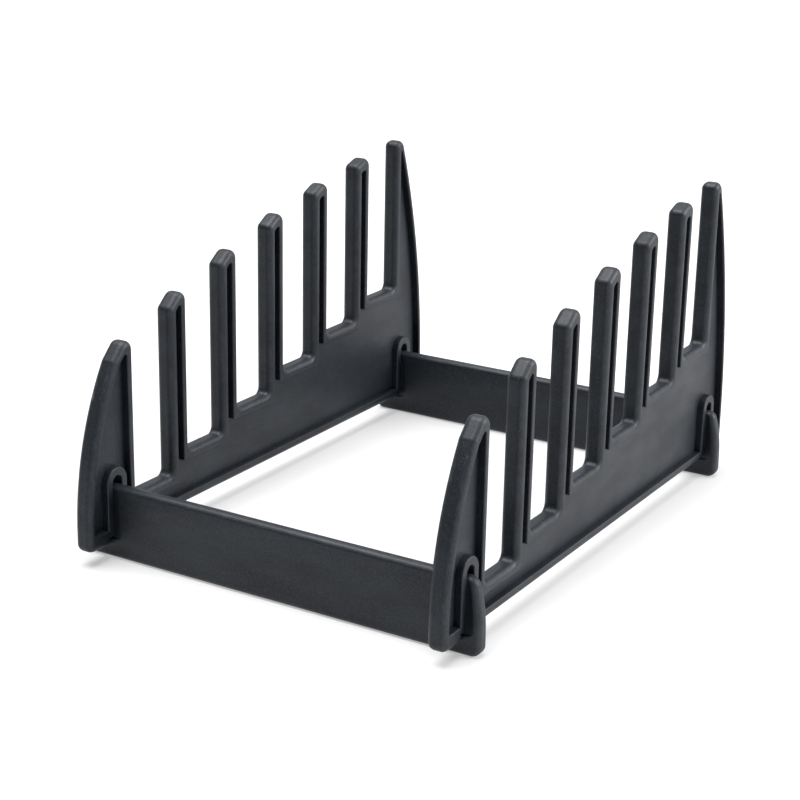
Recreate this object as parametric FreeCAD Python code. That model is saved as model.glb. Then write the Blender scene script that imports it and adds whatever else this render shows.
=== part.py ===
import FreeCAD, Part
import math
import os

# Toast rack: two comb-shaped side plates pushed down over two cross bars.
# X runs across the rack, Y from the low front to the high rear, Z up.
# Origin: middle of the rack on the table.  All lengths in millimetres.

V = FreeCAD.Vector

# ---- comb, seen from the side -------------------------------------------------
COMB_X = 69.0             # mid-plane of each comb, either side of the middle
COMB_THICK = 6.7          # over the rims
COMB_BOTTOM = 7.05        # the combs hang clear of the table
COMB_FRONT = -109.7       # where the front edge stands upright
COMB_REAR = 109.7
FRONT_ARC_R = 112.0       # the front edge leans back on this arc
FRONT_ARC_Z = 12.4        # height at which it stands upright
REAR_ARC_R = 295.0        # the rear edge leans forward on this one
REAR_ARC_Z = 15.4
TOP_ARC_R = 760.0         # the tine tips follow one long shallow arc
TOP_ARC_Y = 5.8           # a point on that arc, and its slope there
TOP_ARC_Z = 102.8
TOP_ARC_SLOPE = 0.2265

TINE_COUNT = 7
TINE_PITCH = 30.0         # leaves gaps of 20 mm for bread, boards or small plates
TINE_WIDTH = 9.9
FIRST_TINE_Y = -88.9
GAP_FLOOR_Z = 19.4        # floor of the lowest gap
GAP_FLOOR_STEP = 7.1      # each floor is this much higher than the last
GAP_CORNER_R = 2.3
TIP_SLOPE_GAIN = 3.0      # each tip is cut steeper than the arc, most of all at the front
TIP_SLOPE_LESS = 0.1
TIP_FRONT_R = 2.5         # rounding of the front and rear corner of a tip
TIP_REAR_R = 3.2
TOE_BOTTOM = 5.05         # the toes in front of and behind the bars reach lower
TOE_CLEARANCE = 0.5
TOE_R = 3.0

# ---- rim and web of the comb --------------------------------------------------
WEB_THICK = 1.6           # the sheet between the two recesses
RIM_SIDE = 2.9            # along the outer edges
RIM_TINE = 3.4            # along both sides of a tine
RIM_TIP = 4.2             # below a tip
RIM_GAP = 3.3             # under the floor of a gap
RIM_FOOT = 3.6            # along the bottom
POCKET_CORNER_R = 0.9
RIM_ROUND_R = 2.2         # outer edges of the rims
POCKET_EDGE_R = 0.45      # brinks of the recesses and slots

# ---- slots that drop over the bars --------------------------------------------
BAR_Y = 94.5              # mid-plane of each bar, front and rear
SLOT_WIDTH = 4.6
SLOT_END_Z = 27.2         # centre of the round upper end
ARCH_R = 5.2              # rim around the slot

# ---- bar ----------------------------------------------------------------------
BAR_HEIGHT = 26.3
BAR_TOP_THICK = 4.7
BAR_FOOT_THICK = 6.1
BAR_EDGE_R = 2.0          # all round both faces
BAR_HALF_LENGTH = 77.5
BAR_END_FLAT_Z = 9.0      # the end is upright up to here, then curves in
BAR_END_ARC_R = 55.0      # on this arc
BAR_END_TOP_R = 3.6
BAR_END_FOOT_R = 3.4
NECK_THICK = 4.1          # where a comb sits
NECK_LENGTH = 7.4         # at full depth; its ends ramp up to the faces of the bar
NECK_RAMP = 3.5           # length of ramp for each millimetre of depth
LEDGE_Z = 6.75            # the ledges that the combs come down on
NECK_CORNER_R = 4.0

FAR = 400.0               # larger than the rack, for trimming solids
NEAR = 0.001              # two positions closer than this are the same
MIN_EDGE = 0.1            # shorter edges are left alone


def arc_centre_top():
    """Centre (y, z) of the long arc through the tine tips."""
    grade = math.hypot(1.0, TOP_ARC_SLOPE)
    return (TOP_ARC_Y + TOP_ARC_R * TOP_ARC_SLOPE / grade,
            TOP_ARC_Z - TOP_ARC_R / grade)


def disc(y, z, radius, thick):
    """A cylinder along X, centred on x = 0."""
    return Part.makeCylinder(radius, thick, V(-thick / 2, y, z), V(1, 0, 0))


def block(y0, y1, z0, z1, thick):
    """A box centred on x = 0."""
    return Part.makeBox(thick, y1 - y0, z1 - z0, V(-thick / 2, y0, z0))


def edges_along_x(solid, test):
    """Edges parallel to X whose (y, z) position passes the test."""
    found = []
    for edge in solid.Edges:
        a, b = edge.Vertexes[0].Point, edge.Vertexes[-1].Point
        if abs(a.y - b.y) < NEAR and abs(a.z - b.z) < NEAR and abs(a.x - b.x) > MIN_EDGE:
            if test(a.y, a.z):
                found.append(edge)
    return found


def tine_middle(index):
    return FIRST_TINE_Y + index * TINE_PITCH


def tip_height(index, y):
    """Height of the straight slanted cut across the tip of one tine."""
    middle = tine_middle(index)
    centre_y, centre_z = arc_centre_top()
    rise = math.sqrt(TOP_ARC_R ** 2 - (middle - centre_y) ** 2)
    slope = TIP_SLOPE_GAIN * (centre_y - middle) / rise - TIP_SLOPE_LESS
    return centre_z + rise + slope * (y - middle)


def nearest_tine(y):
    return min(range(TINE_COUNT), key=lambda k: abs(tine_middle(k) - y))


def side_plate(inset, tip_inset, foot_inset, thick):
    """The comb's outer outline without its gaps, drawn in by the given amounts."""
    plate = block(COMB_FRONT + inset, COMB_REAR - inset,
                  COMB_BOTTOM + foot_inset, 2 * TOP_ARC_Z, thick)
    if foot_inset == 0:
        bar_face = BAR_Y + BAR_FOOT_THICK / 2 + TOE_CLEARANCE
        plate = plate.fuse(block(COMB_FRONT, -bar_face, TOE_BOTTOM, COMB_BOTTOM, thick))
        plate = plate.fuse(block(bar_face, COMB_REAR, TOE_BOTTOM, COMB_BOTTOM, thick))
    for index in range(TINE_COUNT):
        y0 = tine_middle(index) - TINE_PITCH / 2
        y1 = y0 + TINE_PITCH
        corners = [V(-thick / 2, y0, tip_height(index, y0) - tip_inset),
                   V(-thick / 2, y1, tip_height(index, y1) - tip_inset),
                   V(-thick / 2, y1, FAR), V(-thick / 2, y0, FAR)]
        above = Part.Face(Part.makePolygon(corners + corners[:1])).extrude(V(thick, 0, 0))
        plate = plate.cut(above)
    front = disc(COMB_FRONT + FRONT_ARC_R, FRONT_ARC_Z, FRONT_ARC_R - inset, thick)
    front = front.fuse(block(COMB_FRONT + FRONT_ARC_R / 2, FAR, -FAR, FAR, thick))
    front = front.fuse(block(COMB_FRONT, FAR, -FAR, FRONT_ARC_Z, thick))
    rear = disc(COMB_REAR - REAR_ARC_R, REAR_ARC_Z, REAR_ARC_R - inset, thick)
    rear = rear.fuse(block(-FAR, COMB_REAR, -FAR, REAR_ARC_Z, thick))
    return plate.common(front).common(rear).removeSplitter()


def gap(index, grow_side, grow_floor, corner, thick):
    """One gap between two tines, open at the top, with rounded floor corners."""
    y0 = tine_middle(index) + TINE_WIDTH / 2 - grow_side
    y1 = tine_middle(index + 1) - TINE_WIDTH / 2 + grow_side
    floor = GAP_FLOOR_Z + index * GAP_FLOOR_STEP - grow_floor
    box = block(y0, y1, floor, FAR, thick)
    return box.makeFillet(corner, edges_along_x(box, lambda y, z: z < floor + NEAR))


def slot(half_width, thick):
    """Upright channels over both bars, round at the top, open at the bottom."""
    shapes = []
    for y in (-BAR_Y, BAR_Y):
        shapes.append(disc(y, SLOT_END_Z, half_width, thick).fuse(
            block(y - half_width, y + half_width, -FAR, SLOT_END_Z, thick)))
    return shapes[0].fuse(shapes[1])


def round_tine_tips(plate):
    """Round the front and rear top corners of every tine, and the toes."""
    def on_tip(y, z):
        return abs(z - tip_height(nearest_tine(y), y)) < NEAR

    def in_front(y):
        return y < tine_middle(nearest_tine(y))

    for radius, wanted in ((TIP_FRONT_R, True), (TIP_REAR_R, False)):
        plate = plate.makeFillet(radius, edges_along_x(
            plate, lambda y, z: on_tip(y, z) and in_front(y) == wanted))
    return plate.makeFillet(TOE_R, edges_along_x(
        plate, lambda y, z: z < TOE_BOTTOM + NEAR and abs(y) > COMB_REAR - TOE_R))


def flat_rims(plate):
    """The flat faces left on the rims, on both sides of the comb."""
    return [f for f in plate.Faces if f.BoundBox.XLength < NEAR
            and abs(abs(f.CenterOfMass.x) - COMB_THICK / 2) < NEAR]


def soften_pockets(plate):
    """Round the brinks of the pockets, then those of the slots."""
    brinks = [e for f in flat_rims(plate) for w in f.Wires if not w.isSame(f.OuterWire)
              for e in w.Edges]
    plate = plate.makeFillet(POCKET_EDGE_R, brinks)
    brinks = [e for f in flat_rims(plate) for e in f.OuterWire.Edges
              if abs(abs(e.CenterOfMass.y) - BAR_Y) < SLOT_WIDTH / 2 + NEAR
              and COMB_BOTTOM + RIM_ROUND_R / 2 < e.CenterOfMass.z < SLOT_END_Z + SLOT_WIDTH]
    return plate.makeFillet(POCKET_EDGE_R, brinks)


def comb():
    """A toothed plate: a rim all round, a thin recessed web on both faces."""
    plate = side_plate(0, 0, 0, COMB_THICK)
    for index in range(TINE_COUNT - 1):
        plate = plate.cut(gap(index, 0, 0, GAP_CORNER_R, COMB_THICK + 2))
    plate = round_tine_tips(plate.removeSplitter())
    rim = [e for e in plate.Edges
           if abs(abs(e.BoundBox.XMin) - COMB_THICK / 2) < NEAR and e.BoundBox.XLength < NEAR]
    plate = plate.makeFillet(RIM_ROUND_R, rim)

    depth = (COMB_THICK - WEB_THICK) / 2
    pocket = side_plate(RIM_SIDE, RIM_TIP, RIM_FOOT, depth)
    for index in range(TINE_COUNT - 1):
        pocket = pocket.cut(gap(index, RIM_TINE, RIM_GAP, POCKET_CORNER_R, depth + 2))
    pocket = pocket.removeSplitter()
    pocket = pocket.makeFillet(POCKET_CORNER_R, edges_along_x(
        pocket, lambda y, z: z < COMB_BOTTOM + RIM_FOOT + NEAR or (
            y < tine_middle(TINE_COUNT - 2) + TINE_PITCH / 2
            and abs(z + RIM_TIP - tip_height(nearest_tine(y), y)) < NEAR)))
    pocket = pocket.cut(slot(ARCH_R, depth + 2))
    for side in (-1, 1):
        shift = side * (WEB_THICK / 2 + depth / 2)
        cutter = pocket.copy()
        cutter.translate(V(shift, 0, 0))
        plate = plate.cut(cutter)
    plate = plate.cut(slot(SLOT_WIDTH / 2, COMB_THICK + 2))
    return soften_pockets(plate)


def bar_outline():
    """The bar seen from the front: upright ends that lean in and round over at the top."""
    outline = Part.makeBox(2 * BAR_HALF_LENGTH, FAR, BAR_HEIGHT, V(-BAR_HALF_LENGTH, -FAR / 2, 0))
    for side in (-1, 1):
        middle = V(side * (BAR_HALF_LENGTH - BAR_END_ARC_R), -FAR / 2, BAR_END_FLAT_Z)
        lean = Part.makeCylinder(BAR_END_ARC_R, FAR, middle, V(0, 1, 0))
        lean = lean.fuse(Part.makeBox(2 * FAR, FAR, FAR + BAR_END_FLAT_Z, V(-FAR, -FAR / 2, -FAR)))
        start = middle.x - FAR if side > 0 else middle.x
        lean = lean.fuse(Part.makeBox(FAR, FAR, FAR, V(start, -FAR / 2, -FAR / 2)))
        outline = outline.common(lean)
    outline = outline.removeSplitter()
    corners = [e for e in outline.Edges if e.BoundBox.XLength < NEAR and e.BoundBox.ZLength < NEAR]
    outline = outline.makeFillet(BAR_END_FOOT_R, [e for e in corners if e.BoundBox.ZMax < NEAR])
    corners = [e for e in outline.Edges if e.BoundBox.XLength < NEAR and e.BoundBox.ZLength < NEAR
               and e.BoundBox.ZMin > BAR_HEIGHT - NEAR]
    return outline.makeFillet(BAR_END_TOP_R, corners)


def neck_relief(x, side):
    """What is cut from one face of the bar beside a comb, with ramps at both ends."""
    near = side * NECK_THICK / 2
    far = side * BAR_FOOT_THICK
    half = NECK_LENGTH / 2
    wide = half + NECK_RAMP * abs(far - near)
    corners = [V(x - half, near, LEDGE_Z), V(x + half, near, LEDGE_Z),
               V(x + wide, far, LEDGE_Z), V(x - wide, far, LEDGE_Z)]
    relief = Part.Face(Part.makePolygon(corners + corners[:1])).extrude(V(0, 0, FAR))
    shallow = half + NECK_RAMP * (BAR_FOOT_THICK - NECK_THICK) / 2
    window = Part.makeBox(2 * shallow, FAR, FAR, V(x - shallow, -FAR / 2, LEDGE_Z))
    window = window.makeFillet(NECK_CORNER_R, [
        e for e in window.Edges if e.BoundBox.ZMax < LEDGE_Z + NEAR and e.BoundBox.XLength < NEAR])
    return relief.common(window)


def bar():
    """A cross bar: thicker at the foot, a neck for each comb, a lip outside each neck."""
    top, foot = BAR_TOP_THICK / 2, BAR_FOOT_THICK / 2
    corners = [V(-FAR / 2, -foot, 0), V(-FAR / 2, foot, 0),
               V(-FAR / 2, top, BAR_HEIGHT), V(-FAR / 2, -top, BAR_HEIGHT)]
    wedge = Part.Face(Part.makePolygon(corners + corners[:1])).extrude(V(FAR, 0, 0))
    body = wedge.common(bar_outline()).removeSplitter()
    sides = [f for f in body.Faces if abs(f.normalAt(0, 0).y) > 0.9]
    body = body.makeFillet(BAR_EDGE_R, [e for f in sides for e in f.Edges])

    for x in (-COMB_X, COMB_X):
        for side in (-1, 1):
            body = body.cut(neck_relief(x, side))
    return body


def placed(shape, x, y):
    """A copy of the shape moved sideways to its place in the rack."""
    moved = shape.copy()
    moved.translate(V(x, y, 0))
    return moved


os.makedirs("parts", exist_ok=True)
side_comb = comb()
cross_bar = bar()
pieces = {
    "front_bar": placed(cross_bar, 0, -BAR_Y),
    "rear_bar": placed(cross_bar, 0, BAR_Y),
    "left_comb": placed(side_comb, -COMB_X, 0),
    "right_comb": placed(side_comb, COMB_X, 0),
}
for node, shape in pieces.items():
    shape.exportStep("parts/%s.step" % node)
    print(node, "valid" if shape.isValid() else "NOT VALID", len(shape.Solids), "solid",
          round(shape.Volume), "mm3")
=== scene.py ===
# %% [markdown]
# # A knock-down toast rack in charcoal plastic
#
# The rack is four moulded pieces: two toothed combs that drop over two cross bars.
# Their shapes, down to the rounded rims, come from the imported frame, because they are
# plain moulded solids and the frame already has them right. What is left for Blender
# is the finish of the plastic, the light, the table and the camera.
# The first cell loads the frame.

# %% Load the frame
import math

import bpy
import numpy as np
from mathutils import Matrix, Vector

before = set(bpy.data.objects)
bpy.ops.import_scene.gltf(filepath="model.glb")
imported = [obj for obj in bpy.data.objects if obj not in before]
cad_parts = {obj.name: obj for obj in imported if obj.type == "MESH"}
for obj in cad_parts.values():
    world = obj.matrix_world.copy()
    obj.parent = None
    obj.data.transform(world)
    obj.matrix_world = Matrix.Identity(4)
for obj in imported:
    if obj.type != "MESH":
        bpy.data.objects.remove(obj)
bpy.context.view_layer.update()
print("pieces:", sorted(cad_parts))

# %% [markdown]
# ## Writing shader maths as Python
#
# A finish is mostly arithmetic on patterns: a mask times a pattern plus a base value.
# In the node editor that is dozens of Math nodes wired by hand. Here one small class
# holds a socket and overloads the operators, so `base + 0.1 * grain` adds the nodes
# itself, and the formula can still be read later. Any other node comes from `Graph.node`.

# %% A socket that does arithmetic
GENERATED, NORMAL, OBJECT = 0, 1, 3      # outputs of the Texture Coordinate node
MIX_FACTOR, MIX_FIRST, MIX_SECOND = 0, 6, 7      # colour sockets of the Mix node
MIX_RESULT = 2


class Signal:
    """One output socket of a shader graph; arithmetic on it adds Math nodes."""

    def __init__(self, graph, socket):
        self.graph, self.socket = graph, socket

    def _math(self, operation, *values, clamp=False):
        return self.graph.node("ShaderNodeMath", {"operation": operation, "use_clamp": clamp},
                               dict(enumerate(values)))

    def __add__(self, other): return self._math("ADD", self, other)
    def __radd__(self, other): return self._math("ADD", other, self)
    def __sub__(self, other): return self._math("SUBTRACT", self, other)
    def __rsub__(self, other): return self._math("SUBTRACT", other, self)
    def __mul__(self, other): return self._math("MULTIPLY", self, other)
    def __rmul__(self, other): return self._math("MULTIPLY", other, self)
    def __pow__(self, other): return self._math("POWER", self, other)
    def __abs__(self): return self._math("ABSOLUTE", self)

    def root(self):
        return self._math("SQRT", self)

    def clamped(self):
        """The value held between 0 and 1."""
        return self._math("ADD", self, 0.0, clamp=True)

    def between(self, low, high):
        """0 below low, 1 above high, with a soft ramp from one to the other."""
        return self.graph.node("ShaderNodeMapRange", {"interpolation_type": "SMOOTHSTEP"},
                               {"Value": self, "From Min": low, "From Max": high})


class Graph:
    """The node tree of a material or a world, with its shader."""

    def __init__(self, owner, shader="Principled BSDF"):
        owner.use_nodes = True
        self.tree = owner.node_tree
        self.shader = self.tree.nodes[shader]

    def node(self, kind, settings=None, inputs=None, output=0):
        """Adds a node: its settings first, then each input's value or link."""
        node = self.tree.nodes.new(kind)
        for name, value in (settings or {}).items():
            setattr(node, name, value)
        for name, value in (inputs or {}).items():
            self.feed(node.inputs[name], value)
        return Signal(self, node.outputs[output])

    def feed(self, socket, value):
        """Links a signal to a socket, or sets a plain value on it."""
        if isinstance(value, Signal):
            self.tree.links.new(value.socket, socket)
        else:
            socket.default_value = value

    def parts(self, vector):
        """The three components of a vector signal."""
        split = self.node("ShaderNodeSeparateXYZ", inputs={"Vector": vector})
        return [Signal(self, output) for output in split.socket.node.outputs]

    def noise(self, place, size, detail=2.0, roughness=0.5):
        """Smooth noise from 0 to 1 whose lumps are about `size` metres across."""
        return self.node("ShaderNodeTexNoise", {"noise_dimensions": "3D"},
                         {"Vector": place, "Scale": 1.0 / size,
                          "Detail": detail, "Roughness": roughness})

    def blend(self, factor, first, second):
        """A colour between two colours."""
        return self.node("ShaderNodeMix", {"data_type": "RGBA"},
                         {MIX_FACTOR: factor, MIX_FIRST: first, MIX_SECOND: second},
                         output=MIX_RESULT)


print("a Signal adds a Math node for each of + - * **")

# %% [markdown]
# ## The charcoal plastic
#
# The real pieces are moulded in one dark grey plastic with a fine matt texture, like
# the outside of kitchen tools. Three things keep it from looking like a flat grey:
# the grain of the mould, a fraction of a millimetre across, which breaks up reflections;
# broad cloudy patches, where the plastic cooled at different speeds and came out a
# little more or less shiny; and a painted highlight on the rounded edges, which are made
# lighter in colour and smoother, more in some patches than in others.
#
# The painted edge highlight needs a mask. Every long edge of a piece joins one of its two
# flat sides to a wall at right angles, so on the rounding the surface normal points partly
# along the piece's thin direction and partly across it. With n as that component of the
# normal, 2 n sqrt(1 - n^2) is 0 on both flats and 1 half way round the edge. That works
# on any mesh and needs no painted map. The combs are thin along X and the bars along Y.

# %% Make the plastic
GRAIN = 0.00045          # lumps of the moulded texture, in metres
FINE_GRAIN = 0.00016
PATCH = 0.010            # cloudy patches
EDGE_HIGHLIGHT_PATCH = 0.004            # patches along the edges where the painted highlight is stronger
FLOW_STRETCH = {0: (1.0, 0.45, 1.0), 1: (0.3, 1.0, 1.0)}    # patches run along the piece
SPECKLE_SHARE = 0.50     # how far the palest specks go towards the pale speck and highlight colour
EDGE_HIGHLIGHT_SHARE = 0.6       # and how far the painted edge highlight goes
ROUGHNESS = 0.51
SPECULAR = 0.31
RELIEF_STRENGTH, RELIEF_HEIGHT = 0.8, 0.00008
CHARCOAL = (0.0090, 0.0130, 0.0185, 1.0)
CHARCOAL_DULL = (0.0040, 0.0064, 0.0100, 1.0)
# pale colour of the grain specks, and also the colour of the painted highlight on the rounded
# edges
PALE_SPECK_AND_HIGHLIGHT = (0.038, 0.043, 0.049, 1.0)


def charcoal_plastic(name, thin_axis):
    """Matt moulded plastic for pieces that are thin along one axis (0 for X, 1 for Y)."""
    material = bpy.data.materials.new(name)
    graph = Graph(material)
    shader = graph.shader
    place = graph.node("ShaderNodeTexCoord", output=OBJECT)
    normal = graph.node("ShaderNodeTexCoord", output=NORMAL)

    grain = graph.noise(place, GRAIN, detail=3.0, roughness=0.6)
    fine = graph.noise(place, FINE_GRAIN, detail=1.0)
    flow = graph.node("ShaderNodeMapping",
                      inputs={"Vector": place, "Scale": FLOW_STRETCH[thin_axis]})
    cloud = graph.noise(flow, PATCH, detail=3.0, roughness=0.55).between(0.32, 0.68)
    speckle = graph.noise(place, GRAIN, detail=3.0, roughness=0.7).between(0.48, 0.66)

    across = abs(graph.parts(normal)[thin_axis])
    on_edge = (2.0 * across * (1.0 - across ** 2.0).clamped().root()).between(0.55, 1.0)
    # painted highlight: the rounded edges are painted lighter, more in some patches than
    # others; the same mask makes them smoother
    highlight_patchiness = graph.noise(place, EDGE_HIGHLIGHT_PATCH, detail=4.0, roughness=0.7).between(0.42, 0.66)
    edge_highlight = on_edge * (0.25 + 0.55 * highlight_patchiness)

    body = graph.blend(cloud, CHARCOAL_DULL, CHARCOAL)
    body = graph.blend(SPECKLE_SHARE * speckle, body, PALE_SPECK_AND_HIGHLIGHT)
    body = graph.blend(EDGE_HIGHLIGHT_SHARE * edge_highlight, body, PALE_SPECK_AND_HIGHLIGHT)
    graph.feed(shader.inputs["Base Color"], body)

    roughness = ROUGHNESS + 0.12 * (grain - 0.5) - 0.08 * cloud - 0.08 * edge_highlight
    graph.feed(shader.inputs["Roughness"], roughness.clamped())
    shader.inputs["IOR"].default_value = 1.5
    shader.inputs["Specular IOR Level"].default_value = SPECULAR

    relief = 0.7 * grain + 0.3 * fine
    bump = graph.node("ShaderNodeBump", inputs={
        "Height": relief, "Strength": RELIEF_STRENGTH, "Distance": RELIEF_HEIGHT})
    graph.feed(shader.inputs["Normal"], bump)
    material.diffuse_color = CHARCOAL
    print(name, "has", len(graph.tree.nodes), "nodes")
    return material


comb_plastic = charcoal_plastic("comb_plastic", thin_axis=0)
bar_plastic = charcoal_plastic("bar_plastic", thin_axis=1)
for node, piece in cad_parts.items():
    plastic = comb_plastic if node.endswith("comb") else bar_plastic
    for slot in piece.material_slots:
        slot.material = plastic
    print(node, "takes", plastic.name, "on", len(piece.data.polygons), "faces")

# %% [markdown]
# ## The table
#
# The rack stands on a plain white table that runs off out of sight in every direction,
# so nothing but a faint contact shadow says where it is. One large square does that.
# It lies a hair below the bars, so that the two never fight for the same surface. The
# paint glows faintly by itself, which fills in the shadow under the pieces the way
# light bounced from all sides of a white sweep does.

# %% Lay the table
TABLE_HALF_SIZE = 6.0
TABLE_DROP = 0.0001
TABLE_GREY = (0.36, 0.36, 0.365, 1.0)
TABLE_GLOW = 0.42

corners = np.array([(-1, -1, 0), (1, -1, 0), (1, 1, 0), (-1, 1, 0)], float) * TABLE_HALF_SIZE
corners[:, 2] = -TABLE_DROP
table_mesh = bpy.data.meshes.new("table")
table_mesh.from_pydata(corners.tolist(), [], [(0, 1, 2, 3)])
table = bpy.data.objects.new("table", table_mesh)
bpy.context.scene.collection.objects.link(table)
table_paint = bpy.data.materials.new("table_white")
table_paint.use_nodes = True
table_shader = table_paint.node_tree.nodes["Principled BSDF"]
table_shader.inputs["Base Color"].default_value = TABLE_GREY
table_shader.inputs["Emission Color"].default_value = (1.0, 1.0, 1.0, 1.0)
table_shader.inputs["Emission Strength"].default_value = TABLE_GLOW
table_shader.inputs["Roughness"].default_value = 0.9
table_shader.inputs["Specular IOR Level"].default_value = 0.1
table_mesh.materials.append(table_paint)
print("table", 2 * TABLE_HALF_SIZE, "m square")

# %% [markdown]
# ## The light
#
# Dark matt plastic shows the room more than its own colour: a face looks light when it
# mirrors something bright at a shallow angle. So the room is pale grey and grows brighter
# towards its rear wall, which the tops and the right-hand faces mirror. A large lamp
# overhead lights the tips and the table, and a smaller one behind on the right adds the
# sheen on the outer side of the right comb. Both are soft and leave a light shadow.

# %% Light the room
ROOM_MIDDLE = 0.40       # brightness of the walls at the sides
ROOM_REAR = 0.56         # brighter towards the rear wall, darker towards the front
ROOM_TOP = 0.05          # and a little brighter towards the ceiling
WHITE = (1.0, 1.0, 1.0, 1.0)


def soft_lamp(name, place, aim, size, watts):
    """A square area lamp at `place` that faces the point `aim`."""
    data = bpy.data.lights.new(name, "AREA")
    data.shape, data.size, data.energy = "SQUARE", size, watts
    lamp = bpy.data.objects.new(name, data)
    lamp.location = place
    lamp.rotation_euler = (Vector(aim) - Vector(place)).to_track_quat("-Z", "Y").to_euler()
    bpy.context.scene.collection.objects.link(lamp)


world = bpy.data.worlds.new("studio")
world.use_nodes = True
room = Graph(world, "Background")
_, towards_rear, upwards = room.parts(room.node("ShaderNodeTexCoord", output=GENERATED))
glow = ROOM_MIDDLE + ROOM_REAR * towards_rear + ROOM_TOP * upwards
room.feed(room.shader.inputs["Color"], WHITE)
room.feed(room.shader.inputs["Strength"], glow)
bpy.context.scene.world = world
soft_lamp("overhead", (-1.2, -0.8, 8.0), (0, 0, 0), 6.5, 1420.0)
soft_lamp("right_rear", (3.9, 2.1, 2.0), (0, 0, 0.05), 3.0, 265.0)
bpy.context.scene.view_settings.view_transform = "Standard"

# %% [markdown]
# ## The camera
#
# A small object is best seen from a little way off with a long lens, which keeps the
# uprights nearly parallel. The camera looks at the middle of the rack from the
# front right, a little above, and is turned about one degree in the hand.

# %% Place the camera
CAMERA_TARGET = Vector((-0.00671, -0.00656, 0.04347))
CAMERA_AZIMUTH = 30.90       # degrees from the front, towards the right
CAMERA_ELEVATION = 18.45
CAMERA_ROLL = 1.12
CAMERA_DISTANCE = 0.67449
CAMERA_LENS = 84.02

azimuth, elevation, roll = map(math.radians, (CAMERA_AZIMUTH, CAMERA_ELEVATION, CAMERA_ROLL))
ahead = Vector((-math.sin(azimuth) * math.cos(elevation),
                math.cos(azimuth) * math.cos(elevation), -math.sin(elevation)))
level = Vector((math.cos(azimuth), math.sin(azimuth), 0.0))
above = level.cross(ahead)
right = math.cos(roll) * level + math.sin(roll) * above
up = math.cos(roll) * above - math.sin(roll) * level

camera_data = bpy.data.cameras.new("camera")
camera_data.lens, camera_data.sensor_width = CAMERA_LENS, 36.0
camera_data.clip_start, camera_data.clip_end = 0.01, 50.0
camera = bpy.data.objects.new("camera", camera_data)
turn = Matrix((right, up, -ahead)).transposed().to_4x4()
camera.matrix_world = Matrix.Translation(CAMERA_TARGET - ahead * CAMERA_DISTANCE) @ turn
bpy.context.scene.collection.objects.link(camera)
bpy.context.scene.camera = camera
print("camera at", [round(c, 3) for c in camera.matrix_world.translation])
